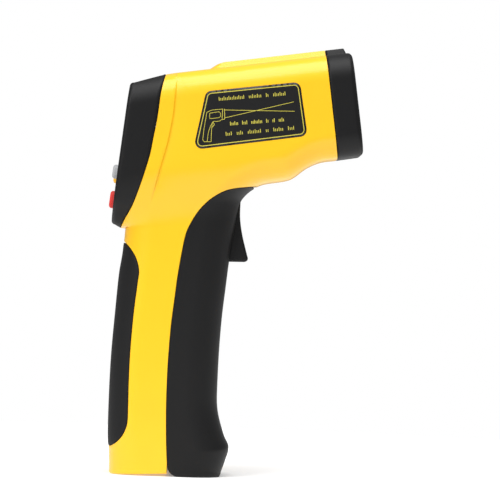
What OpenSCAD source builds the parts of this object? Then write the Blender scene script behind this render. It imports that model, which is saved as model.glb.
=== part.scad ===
// Pistol-grip infrared thermometer with a laser pointer, a 9 V battery in the handle and a rear display.
// Frame: millimetres, +X towards the nose, +Z up, origin at the middle of the flat foot it stands on.

/* [Body] */
// Half of the width across the display head
head_half_w = 21.5; // [21:0.1:22]
// Half of the width of the barrel
barrel_half_w = 20.5; // [20:0.1:21]
// Half of the width of the handle
handle_half_w = 16; // [15.6:0.1:16.4]
// Thickness of the moulded walls
wall = 2; // [1.8:0.1:2.2]
// Angle of the barrel above level, in degrees
barrel_tilt = 8.5; // [8:0.1:9]
// Angle that the display face leans, in degrees
display_tilt = 6; // [5.5:0.1:6.5]
// Thickness of the rubber pad on the back of the handle
grip_thickness = 1.2; // [0.8:0.1:1.3]
// Gap round the battery door
door_gap = 0.3; // [0.25:0.05:0.4]

/* [Optics] */
// Radius of the lens tube
tube_r = 11.8; // [11.4:0.1:11.9]
// Radius of the infrared lens
lens_r = 10; // [9:0.1:10]
// Radius of the laser module
laser_r = 3.4; // [3:0.1:3.4]
// Length of the laser module
laser_l = 28; // [20:1:28]

/* [Battery] */
// Length of the battery along the handle
battery_l = 48.5; // [46.5:0.5:48.5]
// Width of the battery, front to back
battery_w = 26.5; // [25.5:0.5:26.5]
// Thickness of the battery, side to side
battery_t = 17.5; // [16.5:0.5:17.5]

/* [Controls] */
// Half of the trigger's width
trigger_half_w = 5; // [4.5:0.1:5.1]
// How far the keys stand out of the display face
key_rise = 2; // [1.5:0.1:2.2]
// Radius of the trigger's pin
trigger_pin_r = 1.25; // [1:0.05:1.3]
// Radius of the door's pin
door_pin_r = 1; // [0.8:0.05:1]

/* [Hidden] */
$fn = 48;
eps = 0.01;

YELLOW = "#ffd92b";
BLACK = "#262628";
BOARD = "#1f6b3a";

// Middle of the nose's front face, and of the display face, as [x, z]
nose = [51.9, 134.8];
face = [-32, 113.9];
// Pivots, as [x, z]
trigger_pivot = [7.3, 105.5];
door_hinge = [-7.5, 4];
// Heights in the barrel's own frame
lens_z = -4.3;
laser_z = 12.4;
nose_depth = 9.3;
ridge_half_w = 8;
ridge_top = 20.7;
// Levels in the handle
battery_z = 10.5;
battery_front = 0.5;
snap_h = 4.4;
handle_base = 1;
// Case screws as [x, z], clear of the optics and the battery
screw_places = [barrel_point(-31, -19.4), barrel_point(-52, 13.4), [-8, 110], [-20, 74], [-22, 5]];
boss_r = 2.6;
screw_r = 1;
head_r = 2;
// Half width at which the screws' heads sit
head_seat = 3.9;

// A point given along and above the barrel's axis, as [x, z]
function barrel_point(x, z) = [
    nose[0] + x * cos(barrel_tilt) - z * sin(barrel_tilt),
    nose[1] + x * sin(barrel_tilt) + z * cos(barrel_tilt)
];

// A point given behind and up the display face, as [x, z]
function face_point(x, z) = [
    face[0] + x * cos(display_tilt) + z * sin(display_tilt),
    face[1] - x * sin(display_tilt) + z * cos(display_tilt)
];

// Smooth curve through a list of points: a Catmull-Rom spline with n steps a span
function span_point(a, b, c, d, t) =
    0.5 * (2 * b + (c - a) * t + (2 * a - 5 * b + 4 * c - d) * t * t + (3 * b - a - 3 * c + d) * t * t * t);
function curve(p, n = 5) = concat(
    [for (i = [0 : len(p) - 2], s = [0 : n - 1])
        span_point(p[max(i - 1, 0)], p[i], p[i + 1], p[min(i + 2, len(p) - 1)], s / n)],
    [p[len(p) - 1]]
);

// Parting line between the yellow shells and the display housing, from the top down
housing_seam = curve([[-16.2, 149], [-16.8, 143], [-19.1, 127.4], [-21.4, 113.6], [-26.8, 96.4],
                      [-29.9, 90.6], [-33, 85.5]], 3);
// Parting line between the yellow shells and the battery door, from the tip down
grip_seam = curve([[16.8, 104.2], [9, 103.1], [0.3, 98.7], [-6, 90.4], [-8.9, 79.6], [-10.9, 62.8],
                   [-12.5, 40.3], [-12.4, 20], [-11.5, 4]], 3);
// Edge of the rubber pad on the back of the handle, from the top down
pad_edge = curve([[-30.2, 83], [-26.7, 79.5], [-23.9, 73], [-25.3, 57.4], [-26.2, 34.1], [-26.2, 19],
                  [-28, 13.7], [-34, 9.4]], 3);

// Turned and moved so that a flat outline drawn as x, z is a slab centred on the middle plane
module slab(half_w) rotate([90, 0, 0]) linear_extrude(2 * half_w, center = true) children();

module in_barrel() translate([nose[0], 0, nose[1]]) rotate([0, -barrel_tilt, 0]) children();

// The display face's own frame: x runs into the body, z runs up the face
module in_face() translate([face[0], 0, face[1]]) rotate([0, display_tilt, 0]) children();

// A round bar across the body at [x, z], from y0 to y1
module cross_bar(p, r, y0, y1) translate([p[0], y1, p[1]]) rotate([90, 0, 0]) cylinder(r = r, h = y1 - y0);

// A rounded rectangle with true arcs
module round_rect(w, h, r) {
    square([w - 2 * r, h], center = true);
    square([w, h - 2 * r], center = true);
    for (x = [-1, 1], y = [-1, 1]) translate([x * (w / 2 - r), y * (h / 2 - r)]) circle(r);
}

// A plate in the y-z plane of the current frame, from x0 to x1
module plate(x0, x1) translate([x0, 0, 0]) rotate([90, 0, 90]) linear_extrude(x1 - x0) children();

// ---- The body as one solid: sections from a low or rear point to a high or front point ----

// One section: [from, to, half width at from, half width at to, corner radius], and its ring of points
arc_steps = 6;
function ring(s, inset) = let (d = s[1] - s[0], l = norm(d), r = s[4] - inset)
    [for (q = [0 : 3], k = [0 : arc_steps])
        let (a = 90 * q + 90 * k / arc_steps, side = q == 0 || q == 3 ? 1 : -1, high = q < 2,
             t = (high ? l - s[4] : s[4]) + r * sin(a),
             y = side * (s[high ? 3 : 2] - s[4]) + r * cos(a))
        [s[0][0] + d[0] / l * t, y, s[0][1] + d[1] / l * t]];

// The solid between two rings
module span(a, b) hull() {
    n = len(a);
    polyhedron(concat(a, b), concat(
        [[for (k = [0 : n - 1]) k]],
        [for (k = [0 : n - 1]) [k, n + k, n + (k + 1) % n, (k + 1) % n]],
        [[for (k = [n - 1 : -1 : 0]) n + k]]
    ));
}

module chain(sections, inset) for (i = [0 : len(sections) - 2])
    span(ring(sections[i], inset), ring(sections[i + 1], inset));

function barrel_section(x, low, high, half_w, r) =
    [barrel_point(x, low), barrel_point(x, high), half_w, half_w, r];

// The sides step out at the collar in front of the display housing
collar = 0.8;
barrel_sections = concat(
    [barrel_section(0, -17.3, 17.3, barrel_half_w - 1.2, 8)],
    curve([
        barrel_section(-1.4, -18.5, 18.5, barrel_half_w, 9),
        barrel_section(-15, -18.8, 18.5, barrel_half_w, 9),
        barrel_section(-20.4, -20.4, 18.5, barrel_half_w, 9),
        barrel_section(-25, -23, 18.5, barrel_half_w, 9),
        barrel_section(-29, -24.3, 18.5, barrel_half_w, 9),
        [barrel_point(-39, -25.2), barrel_point(-39, 18.5), barrel_half_w - 1, barrel_half_w, 9],
        [[4, 96], barrel_point(-50, 18.5), barrel_half_w - 2.8, barrel_half_w, 9],
        [[-17.6, 88.4], [-12.6, 143.8], barrel_half_w - 4, barrel_half_w, 9],
    ], 2),
    [
        [[-18, 88.4], [-13, 143.7], barrel_half_w - 3.8, barrel_half_w + collar, 9],
        [[-28, 87.9], [-17.5, 142.9], barrel_half_w - 3.6, barrel_half_w + collar, 9],
        [face_point(1.2, -25.9), face_point(1.2, 27.1), head_half_w - 4, head_half_w, 9],
        [face_point(0, -24.6), face_point(0, 25.2), head_half_w - 5, head_half_w - 1, 8],
    ]
);

// Sections of the handle from the rear point to the front point, from the top down
function handle_section(z, rear, front, half_w, r) = [[rear, z], [front, z], half_w, half_w, r];

handle_sections = [
    [[-29, 112], [16, 110], 17.5, 17.5, 9],
    [[-29.4, 100], [16.8, 104.2], 17.2, 16.5, 9],
    [[-29.5, 97], [13.7, 101.4], 17, 16.3, 9],
    [[-29.5, 94], [11.2, 98.4], 17, 16.2, 9],
    handle_section(88, -29.6, 9.2, 16.6, 10),
    handle_section(77, -30.6, 7.7, 16.2, 11),
    handle_section(57, -32.1, 6, handle_half_w, 11),
    handle_section(44, -32.9, 5.4, handle_half_w, 11),
    handle_section(28, -33.2, 5.2, handle_half_w, 11),
    handle_section(20.2, -33.2, 6.3, handle_half_w, 11),
    handle_section(14.1, -33.1, 8.2, handle_half_w - 0.1, 11),
    handle_section(10.4, -33, 10.2, handle_half_w - 0.2, 11),
    handle_section(1, -32.6, 7.4, handle_half_w - 0.4, 11),
    handle_section(0, -31.8, 6.6, handle_half_w - 1.2, 10),
];

// The raised rib along the top of the barrel, with a rounded rear end
module ridge(inset) in_barrel() hull() {
    translate([-46 + ridge_half_w, 0, 12]) cylinder(r1 = ridge_half_w + 4, r2 = ridge_half_w - inset,
                                                    h = ridge_top - 12 - inset, $fn = 32);
    translate([-2, -ridge_half_w + inset, 12]) cube([1 - inset / 2, 2 * (ridge_half_w - inset),
                                                     ridge_top - 12 - inset]);
}

module body_solid(inset = 0) {
    chain(barrel_sections, inset);
    chain(handle_sections, inset);
    if (inset == 0) ridge(0);
}

// The space inside the walls
module body_hollow() difference() {
    body_solid(wall);
    in_face() translate([-20, -40, -60]) cube([20 + wall, 80, 120]);
    translate([-50, -40, -10]) cube([100, 80, 10 + wall]);
    translate([-50, -40, -10]) cube([50 + door_hinge[0] - 5, 80, 10 + wall + handle_base]);
}

module body_shell() difference() {
    body_solid();
    body_hollow();
}

// ---- Outlines of the pieces, seen from the side ----

module housing_outline() polygon(concat(housing_seam, [[-60, 85.5], [-60, 149]]));

module nose_outline() polygon([barrel_point(-nose_depth, -40), barrel_point(20, -40),
                               barrel_point(20, 40), barrel_point(-nose_depth, 40)]);

module pad_outline() polygon(concat(pad_edge, [[-50, 9.4], [-50, 83]]));

// The door's lower rear corner turns past the handle, so it is rounded about the hinge itself
corner_r = 4;
module door_outline() polygon(concat(
    [[30, 104.2]],
    grip_seam,
    [for (a = [195 : 15 : 270]) door_hinge + corner_r * [cos(a), sin(a)]],
    [[30, 0]]
));

// The yellow sole is flat at the back, where it touches the ground, and rises towards the door's heel
sole_rise_from = -27.6;
sole_rise = handle_base / (-11 - sole_rise_from);
module under_sole() slab(60) polygon([[-60, -20], [-60, sole_rise * (-60 - sole_rise_from)], [-11, handle_base],
                                      [60, handle_base], [60, -20]]);

module half(side) translate([-100, side > 0 ? 0 : -60, -20]) cube([200, 60, 200]);

// ---- Shells ----

// What the two yellow shells share, before they are cut apart on the middle plane
module yellow_shell() difference() {
    body_shell();
    slab(60) offset(delta = 0.05) housing_outline();
    slab(60) offset(delta = 0.05) nose_outline();
    slab(60) offset(delta = door_gap) door_outline();
    under_sole();
    difference() {
        slab(60) pad_outline();
        body_solid(grip_thickness);
    }
    difference() {
        slab(60) offset(delta = 0.1) label_outline();
        body_solid(label_t);
    }
}

// Bosses, ribs and ears inside one half; side is -1 for the right half and 1 for the left
module shell_inside(side) intersection() {
    body_solid(grip_thickness + 0.2);
    union() {
        for (p = screw_places) cross_bar(p, boss_r, side > 0 ? 0.1 : -30, side > 0 ? 30 : -0.1);
        // the trigger's pin is held on both sides of its arm
        cross_bar(trigger_pivot, boss_r, side > 0 ? 5.5 : -30, side > 0 ? 30 : -5.5);
        // shelf under the battery and wall above it
        translate([-32, side > 0 ? 3 : -16, battery_z - 1.8]) cube([19, 13, 1.5]);
        translate([-32, side > 0 ? 6 : -16, 67]) cube([19, 10, 1.5]);
        // ear that carries the door's pin
        rotate([90, 0, 0]) translate([0, 0, side > 0 ? -11.8 : 9.4]) linear_extrude(2.4) hull() {
            translate(door_hinge) circle(2.6);
            translate([-17, wall]) square([4, 6.5]);
        }
    }
}

module shell_half(side) color(YELLOW) difference() {
    union() {
        intersection() {
            yellow_shell();
            half(side);
        }
        shell_inside(side);
    }
    for (p = screw_places) {
        cross_bar(p, screw_r + 0.1, -14, 60);
        if (side > 0) cross_bar(p, head_r + 0.2, head_seat, 60);
    }
    cross_bar(trigger_pivot, trigger_pin_r + 0.05, -9.1, 9.1);
    cross_bar(door_hinge, door_pin_r + 0.05, -20, 20);
    // the housing, the nose cap and the door take their own space
    slab(60) offset(delta = 0.05) housing_outline();
}

module right_shell() shell_half(-1);
module left_shell() shell_half(1);

// ---- Display head ----

// Width, height, and middle height on the face
window = [31, 21, 11.6];
opening = [27.4, 18.6];
lcd = [28.6, 21.6, 11.6];
// Keys as [y, z, width, height] on the face
grey_place = [-7.8, -6.25, 9.2, 5];
yellow_place = [7.8, -6.95, 9.2, 6.4];
red_place = [0, -16.2, 9.6, 6.2];
keys = [grey_place, yellow_place, red_place];
key_r = 1.6;
key_gap = 0.25;
key_travel = 0.6;
board_x = 9;
board_t = 1.6;
post_places = [[-16.4, 12], [16.4, 12], [-10.5, -13], [10.5, -13]];

// The bezel's outline runs parallel to the rim of the housing
bezel_r = 6.8;
module bezel_outline(gap = 0) hull() for (side = [-1, 1]) {
    translate([side * (head_half_w - 9), 17.2]) circle(bezel_r + gap, $fn = 48);
    translate([side * (head_half_w - 13), -16.6]) circle(bezel_r + gap, $fn = 48);
}

module display_housing() color(BLACK) difference() {
    intersection() {
        body_shell();
        slab(60) housing_outline();
    }
    in_face() plate(-1, wall + 0.1) bezel_outline(0.05);
}

module display_bezel() color(BLACK) in_face() difference() {
    union() {
        plate(0, wall) bezel_outline();
        for (p = post_places)
            translate([wall / 2, p[0], p[1]]) rotate([0, 90, 0]) cylinder(r = 1.5, h = board_x - wall / 2 - 0.05);
    }
    translate([0, 0, window[2]]) {
        plate(-1, 1.3) round_rect(window[0], window[1], 2);
        plate(-1.2, 3) round_rect(opening[0], opening[1], 1.5);
    }
    for (k = keys) translate([0, k[0], k[1]])
        plate(-1, 3) round_rect(k[2] + 2 * key_gap, k[3] + 2 * key_gap, key_r + key_gap);
    for (p = post_places)
        translate([4, p[0], p[1]]) rotate([0, 90, 0]) cylinder(r = 0.65, h = 8);
}

module display_window() color("#5a6468") in_face() translate([0, 0, window[2]])
    plate(0.1, 1.25) round_rect(window[0] - 0.2, window[1] - 0.2, 1.9);

module lcd_panel() color("#9aa890") in_face() translate([0, 0, lcd[2]])
    plate(2.3, 5.1) round_rect(lcd[0], lcd[1], 0.4);

module lcd_backlight() color("#d7e0c8") in_face() translate([0, 0, lcd[2]])
    plate(5.3, 8.2) round_rect(lcd[0] - 2, lcd[1] - 5.6, 0.8);

module lcd_connectors() color("#d98a9a") in_face() for (s = [-1, 1])
    translate([5.15, -14, lcd[2] + s * (lcd[1] / 2 - 1.3) - 0.9]) cube([board_x - 5.25, 28, 1.8]);

module board_outline() difference() {
    union() {
        translate([0, 10.2]) round_rect(31, 25, 1);
        translate([0, 12]) round_rect(35.8, 5, 1.5);
        translate([0, -9]) round_rect(25, 23, 1);
    }
    for (p = post_places) translate(p) circle(0.75);
}

module display_board() color(BOARD) in_face() plate(board_x, board_x + board_t) board_outline();

// Chips, a crystal can and capacitors on the inner side of the board
module board_chips() color("#222226") in_face() translate([board_x + board_t, 0, 0]) {
    translate([0.05, -6, 6]) cube([1.8, 12, 12]);
    translate([0.05, -11.5, -2]) cube([1.5, 7, 5]);
    for (y = [6, 9, 12]) translate([0.05, y, -2]) cube([1, 1.6, 3]);
    // socket of the ribbon from the sensor
    translate([0.05, -5, 2.4]) cube([2, 10, 2.6]);
    translate([0.05, -12, 13]) rotate([0, 90, 0]) cylinder(r = 2, h = 4.5);
    translate([0.05, 11, 9]) rotate([0, 90, 0]) cylinder(r = 2.4, h = 5);
}

module board_screws() color("#b9bcc0") in_face() for (p = post_places)
    translate([0, p[0], p[1]]) rotate([0, 90, 0]) {
        translate([0, 0, 4.5]) cylinder(r = 0.6, h = board_x + board_t - 4.4);
        translate([0, 0, board_x + board_t]) difference() {
            cylinder(r = 1.5, h = 1.1);
            for (a = [0, 90]) rotate(a) translate([-1, -0.2, 0.6]) cube([2, 0.4, 1]);
        }
    }

// The bodies of the push switches that sit on the board behind the keys
switch_face = 5.6;
module key_switches() color("#2a2a2c") in_face() for (k = keys)
    translate([switch_face, k[0], k[1]]) difference() {
        translate([0, -3, -3]) cube([board_x - switch_face - 0.05, 6, 6]);
        translate([-1, 0, 0]) rotate([0, 90, 0]) cylinder(r = 1.75, h = 3);
    }

module buzzer() color("#1c1c1e") in_face() translate([board_x + board_t + 0.05, 0, -13.5])
    rotate([0, 90, 0]) difference() {
        cylinder(r = 5.5, h = 4.6);
        translate([0, 0, 3.6]) cylinder(r = 1.2, h = 2);
    }

// A key: a cap that stands out of the face, a flange behind it that stops it, and a stem
module key(k) in_face() translate([0, k[0], k[1]]) {
    plate(-key_rise, 2.4) round_rect(k[2], k[3], key_r);
    plate(2.3, 3.2) round_rect(k[2] + 1.6, k[3] + 1.2, key_r);
    plate(3.1, 4.7) circle(2);
}

// The switch's own plunger, which goes in with the key
module plunger(k) color("#e8e6df") in_face() translate([4.75, k[0], k[1]])
    rotate([0, 90, 0]) cylinder(r = 1.6, h = 1.5);

module grey_key() color("#a9abad") key(grey_place);
module grey_plunger() plunger(grey_place);
module yellow_key() color("#f0bf22") key(yellow_place);
module yellow_plunger() plunger(yellow_place);
module red_key() color("#d8322e") key(red_place);
module red_plunger() plunger(red_place);

// ---- Nose and optics, in the barrel's frame ----

plate_back = -4.2;
plate_front = -2.2;

module nose_hollow(x0, x1, inset) span(
    ring(barrel_section(x0, -18.6, 18.5, barrel_half_w, 9), inset),
    ring(barrel_section(x1, -18.6, 18.5, barrel_half_w, 9), inset)
);

module nose_cap() color(BLACK) difference() {
    intersection() {
        body_solid();
        slab(60) nose_outline();
    }
    nose_hollow(-nose_depth - 1, plate_back, wall);
    nose_hollow(plate_front, 2, wall + 0.4);
    in_barrel() {
        translate([-6, 0, lens_z]) rotate([0, 90, 0]) cylinder(r = tube_r - 0.2, h = 6);
        translate([-6, 0, laser_z]) rotate([0, 90, 0]) cylinder(r = 3, h = 6);
    }
}

// A profile of [radius, distance behind the nose] turned about the lens axis
module turned(profile) in_barrel() translate([0, 0, lens_z]) rotate([0, -90, 0]) rotate_extrude() polygon(profile);

module lens_shroud() color("#161617")
    turned([[11.2, 4.3], [tube_r, 4.3], [tube_r, 17], [9.2, 17], [9.2, 16]]);

module ir_lens() color("#cfd6d2") turned([[0, 16.9], [4, 17], [lens_r - 0.1, 17.5], [lens_r - 0.1, 18.6], [0, 18.6]]);

module lens_ring() color("#3a3a3d") turned([[8.6, 18.7], [lens_r - 0.1, 18.7], [lens_r - 0.1, 20.1], [8.6, 20.1]]);

module lens_tube() color("#2b2b2e") turned([[lens_r, 17.1], [tube_r, 17.1], [tube_r, 48.4], [9, 48.4],
                                            [9, 20.2], [lens_r, 20.2]]);

module aperture_stop() color("#111112") turned([[2.5, 35], [8.95, 35], [8.95, 36], [2.5, 36]]);

module ir_sensor() color("#c9c9cc") {
    turned([[1.6, 42], [4.1, 42], [4.1, 47.6], [4.7, 47.6], [4.7, 48.5], [0, 48.5], [0, 43], [1.6, 43]]);
    in_barrel() for (a = [45 : 90 : 315])
        translate([-52, 2.4 * cos(a), lens_z + 2.4 * sin(a)]) rotate([0, 90, 0]) cylinder(r = 0.25, h = 3.6);
}

module sensor_board() color(BOARD) difference() {
    turned([[0, 48.6], [11, 48.6], [11, 50.2], [0, 50.2]]);
    in_barrel() for (a = [45 : 90 : 315])
        translate([-52, 2.4 * cos(a), lens_z + 2.4 * sin(a)]) rotate([0, 90, 0]) cylinder(r = 0.35, h = 5);
}

// Flat ribbon from the sensor board to the display board
module sensor_cable() color("#8c8f94") slab(4) {
    a = barrel_point(-50.3, lens_z + 6);
    route = curve([a, a + [-3, -1], a + [-8, -5], [-14, 118], [-18.8, 117.6]], 4);
    polygon(concat(route, [for (i = [len(route) - 1 : -1 : 0]) route[i] + [0, -0.5]]));
}

module laser_module() color("#b48a3c") in_barrel() translate([-6 - laser_l, 0, laser_z]) rotate([0, 90, 0])
    difference() {
        union() {
            cylinder(r = laser_r, h = laser_l);
            translate([0, 0, laser_l - 5]) cylinder(r = laser_r, h = 5);
        }
        translate([0, 0, laser_l - 3]) cylinder(r = 1.6, h = 4);
        translate([0, 0, -1]) cylinder(r = 2.2, h = 3);
    }

module laser_window() color("#8e2b2b") in_barrel() translate([-4, 0, laser_z]) rotate([0, 90, 0])
    cylinder(r = 2.95, h = 1.2);

// Two frames that hold the lens tube and the laser between the shells
module optics_frame() color("#3c3d40") in_barrel() for (x = [-26, -46]) difference() {
    plate(x, x + 2) translate([0, -0.1]) round_rect(33.8, 32.4, 6.5);
    translate([x - 1, 0, lens_z]) rotate([0, 90, 0]) cylinder(r = tube_r + 0.05, h = 4);
    translate([x - 1, 0, laser_z]) rotate([0, 90, 0]) cylinder(r = laser_r + 0.05, h = 4);
}

// ---- Wires ----

// Rings of a tube of radius r along a route, joined into one closed skin
module tube(route, r, sides = 6) {
    n = len(route);
    function along(i) = let (d = route[min(i + 1, n - 1)] - route[max(i - 1, 0)]) d / norm(d);
    function across(t) = let (c = cross(t, [0, 1, 0.001])) c / norm(c);
    rings = [for (i = [0 : n - 1]) let (t = along(i), u = across(t), v = cross(t, u))
        for (k = [0 : sides - 1]) route[i] + r * (u * cos(360 * k / sides) + v * sin(360 * k / sides))];
    polyhedron(rings, concat(
        [[for (k = [0 : sides - 1]) k]],
        [for (i = [0 : n - 2], k = [0 : sides - 1]) let (a = i * sides + k, b = i * sides + (k + 1) % sides)
            [a, a + sides, b + sides, b]],
        [[for (k = [sides - 1 : -1 : 0]) (n - 1) * sides + k]]
    ));
}

lead_route = [[-34.05, 12.4], [-39, 11.6], [-45, 10.4], [-50, 8.9], [-57, 8.4], [-67.5, 9.4]];
module laser_leads() color("#b3322d") for (side = [-1, 1])
    tube(curve([for (i = [0 : 5]) let (p = barrel_point(lead_route[i][0], lead_route[i][1]))
        [p[0], side * (0.9 + 0.3 * i), p[1]]], 3), 0.5);

// ---- Handle ----

module rear_grip() color(BLACK) difference() {
    intersection() {
        body_solid();
        slab(60) pad_outline();
    }
    body_solid(grip_thickness);
}

// Labels that lie in shallow recesses in the barrel's sides
label_t = 0.3;
label_corners = [[-0.1, 134.9], [28.9, 138.8], [31.4, 124.6], [-3, 119.2]];
module label_outline() hull() for (p = label_corners) translate(p) circle(2.5, $fn = 24);
module label(side) color("#1b1b1d") difference() {
    intersection() {
        body_solid();
        slab(60) label_outline();
        half(side);
    }
    body_solid(label_t);
}
module label_right() label(-1);
module label_left() label(1);

module case_screws() color("#8f9296") for (p = screw_places) {
    cross_bar(p, screw_r, -12, 4.1);
    difference() {
        cross_bar(p, head_r, 4, 5.9);
        for (a = [0, 90]) translate([p[0], 5.9, p[1]]) rotate([0, a, 0]) cube([2.4, 1.8, 0.5], center = true);
    }
}

// ---- Trigger ----

trigger_front = curve([[11.2, 97.9], [11.4, 93], [12.4, 87], [14.7, 78.6]], 4);
arm_r = 2.5;
module trigger_profile() polygon(concat(
    [for (a = [180 : -15 : 0]) trigger_pivot + arm_r * [cos(a), sin(a)]],
    [[9.2, 103.4], [9.2, 98.4]],
    trigger_front,
    [[14.6, 77.7], [14, 77.2], [7.5, 77], [3.1, 79], [3.1, 99], [4.8, 101]]
));

module trigger() color(BLACK) difference() {
    slab(trigger_half_w) trigger_profile();
    for (y = [-1, 1]) translate([-10, y > 0 ? 4.2 : -24.2, 99.6]) cube([40, 20, 20]);
    cross_bar(trigger_pivot, trigger_pin_r + 0.05, -10, 10);
    // pocket that centres the return spring
    translate([2, 0, 86.5]) rotate([0, 90, 0]) cylinder(r = 3, h = 3.1);
}

module trigger_pin() color("#c4c6ca") cross_bar(trigger_pivot, trigger_pin_r, -9, 9);

switch_back = -6.4;
module switch_board() color(BOARD) translate([switch_back - 1.6, -8, 84]) cube([1.6, 16, 20]);

module trigger_switch() color("#1d2a44") difference() {
    translate([switch_back + 0.05, -3.2, 92]) cube([6, 6.4, 9]);
    translate([-3, 0, 97]) rotate([0, 90, 0]) cylinder(r = 1.3, h = 5);
}

module switch_plunger() color("#e8e6df") translate([-1.6, 0, 97]) rotate([0, 90, 0]) cylinder(r = 1.2, h = 4.5);

// Return spring: a round wire wound seven times between the board and the trigger's pocket
module trigger_spring() color("#c4c6ca") {
    turns = 7;
    steps = 12;
    wire_r = 0.3;
    start = switch_back + wire_r + 0.05;
    length = 5 - wire_r - 0.1 - start;
    tube([for (i = [0 : turns * steps]) let (a = 360 * i / steps)
        [start + length * i / (turns * steps), 2.3 * cos(a), 86.5 + 2.3 * sin(a)]], wire_r, 6);
}

// ---- Battery door, which swings forward about the pin at its foot ----

module battery_door() color(BLACK) difference() {
    union() {
        intersection() {
            body_shell();
            slab(60) door_outline();
        }
        // knuckles that turn on the pin, and tongues that slip inside the shells
        intersection() {
            body_solid(wall / 2);
            union() {
                for (s = [-1, 1]) {
                    cross_bar(door_hinge, 2.7, s > 0 ? 12 : -15.5, s > 0 ? 15.5 : -12);
                    for (p = [[-7.5, 72], [-9.2, 55]])
                        translate([p[0] - 5, s > 0 ? 12.2 : -13.6, p[1]]) cube([4.5, 1.4, 8]);
                    for (p = [[-7.5, 72], [-9.2, 55]])
                        translate([p[0] - 1.1, s > 0 ? 12.2 : -14.4, p[1]]) cube([2.1, 2.2, 8]);
                }
            }
        }
    }
    // slot that the trigger comes through
    translate([0, -trigger_half_w - 0.4, 76.4]) cube([30, 2 * trigger_half_w + 0.8, 22.4]);
    cross_bar(door_hinge, door_pin_r + 0.08, -13.6, 13.6);
    // room for the shells' ears as the door turns
    for (s = [-1, 1]) translate([door_hinge[0] - 8, s > 0 ? 9.1 : -12, -1]) cube([12, 2.9, 11]);
}

module door_pin() color("#c4c6ca") cross_bar(door_hinge, door_pin_r, -13.3, 13.3);

module battery_pad() color("#4a4a4c") translate([0.7, -5, 26]) cube([2.45, 10, 20]);

battery_mid = battery_front - battery_w / 2;
module battery() color("#2f5c9e") translate([battery_mid, 0, battery_z])
    linear_extrude(battery_l) round_rect(battery_w, battery_t, 2);

terminal_h = 2.6;
terminal_dx = 6.35;
module battery_terminals() color("#d2d4d6") translate([battery_mid, 0, battery_z + battery_l]) {
    translate([-terminal_dx, 0, 0]) cylinder(r = 2.9, h = terminal_h);
    translate([terminal_dx, 0, 0]) difference() {
        cylinder(r = 3.9, h = terminal_h);
        translate([0, 0, 0.6]) cylinder(r = 2.7, h = terminal_h);
    }
}

module battery_snap() color("#202022") translate([battery_mid, 0, battery_z + battery_l + 0.2]) difference() {
    linear_extrude(snap_h) round_rect(23, 13, 3);
    translate([-terminal_dx, 0, -1]) cylinder(r = 3, h = terminal_h + 1);
    translate([terminal_dx, 0, -1]) cylinder(r = 4, h = terminal_h + 1);
}

lead_start = [battery_mid, 0, battery_z + battery_l + 0.2 + snap_h];
module battery_lead(side) tube(curve([
    lead_start + [0, side * 2.2, 0],
    lead_start + [0, side * 2.2, 3],
    [-15.5, side * 3.2, 78],
    [-14, side * 4.5, 92],
    [-17.5, side * 8.5, 103],
    [-20.9, side * 8.5, 105.4]], 4), 0.7);
module battery_lead_red() color("#c22a25") battery_lead(-1);
module battery_lead_black() color("#141415") battery_lead(1);

right_shell();
left_shell();
display_housing();
display_bezel();
display_window();
lcd_panel();
lcd_backlight();
lcd_connectors();
display_board();
board_chips();
board_screws();
key_switches();
buzzer();
nose_cap();
lens_shroud();
lens_tube();
ir_lens();
lens_ring();
aperture_stop();
ir_sensor();
sensor_board();
sensor_cable();
laser_module();
laser_window();
optics_frame();
laser_leads();
rear_grip();
label_right();
label_left();
case_screws();
trigger();
trigger_pin();
trigger_spring();
trigger_switch();
switch_plunger();
switch_board();
battery_door();
door_pin();
battery_pad();
battery();
battery_terminals();
battery_snap();
battery_lead_red();
battery_lead_black();
grey_key();
grey_plunger();
yellow_key();
yellow_plunger();
red_key();
red_plunger();
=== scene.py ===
# %% [markdown]
# # A pistol-grip infrared thermometer
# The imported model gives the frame: every hidden part, every body that moves, and the box that the whole
# object fills. The pieces that the eye sees are made again here as smooth surfaces, each riding on its body.

# %% Load the frame
import math
import bmesh
import bpy
import numpy as np
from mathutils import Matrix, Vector
from mathutils.geometry import delaunay_2d_cdt


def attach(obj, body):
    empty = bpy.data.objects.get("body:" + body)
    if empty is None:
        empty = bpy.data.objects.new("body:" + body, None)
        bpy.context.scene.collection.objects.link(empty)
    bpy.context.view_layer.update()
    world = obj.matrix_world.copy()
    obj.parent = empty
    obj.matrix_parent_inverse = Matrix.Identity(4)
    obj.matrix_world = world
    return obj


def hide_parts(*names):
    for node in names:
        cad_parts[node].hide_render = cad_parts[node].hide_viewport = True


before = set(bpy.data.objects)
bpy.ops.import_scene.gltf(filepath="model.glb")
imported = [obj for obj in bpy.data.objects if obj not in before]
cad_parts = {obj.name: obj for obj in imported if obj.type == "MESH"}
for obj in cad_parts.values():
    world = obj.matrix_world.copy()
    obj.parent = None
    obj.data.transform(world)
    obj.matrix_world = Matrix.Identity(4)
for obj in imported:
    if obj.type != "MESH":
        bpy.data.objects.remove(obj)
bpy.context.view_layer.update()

MM = 0.001

# %% [markdown]
# ## Lines of the side view
# A moulded case is designed from its side view: an outline, and the parting lines where one moulding meets
# the next. All of them are given here as a few points in millimetres, x towards the nose and z up, and a
# smooth curve is led through each. The barrel has its own frame, turned by 8.5 degrees about the nose.

# %% Frames and curves
NOSE = np.array([51.9, 134.8])
FACE = np.array([-32.0, 113.9])
BARREL_TILT = math.radians(8.5)
FACE_TILT = math.radians(6)
BARREL_AXES = np.array([[math.cos(BARREL_TILT), math.sin(BARREL_TILT)],
                        [-math.sin(BARREL_TILT), math.cos(BARREL_TILT)]])
FACE_AXES = np.array([[math.cos(FACE_TILT), -math.sin(FACE_TILT)],
                      [math.sin(FACE_TILT), math.cos(FACE_TILT)]])


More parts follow.
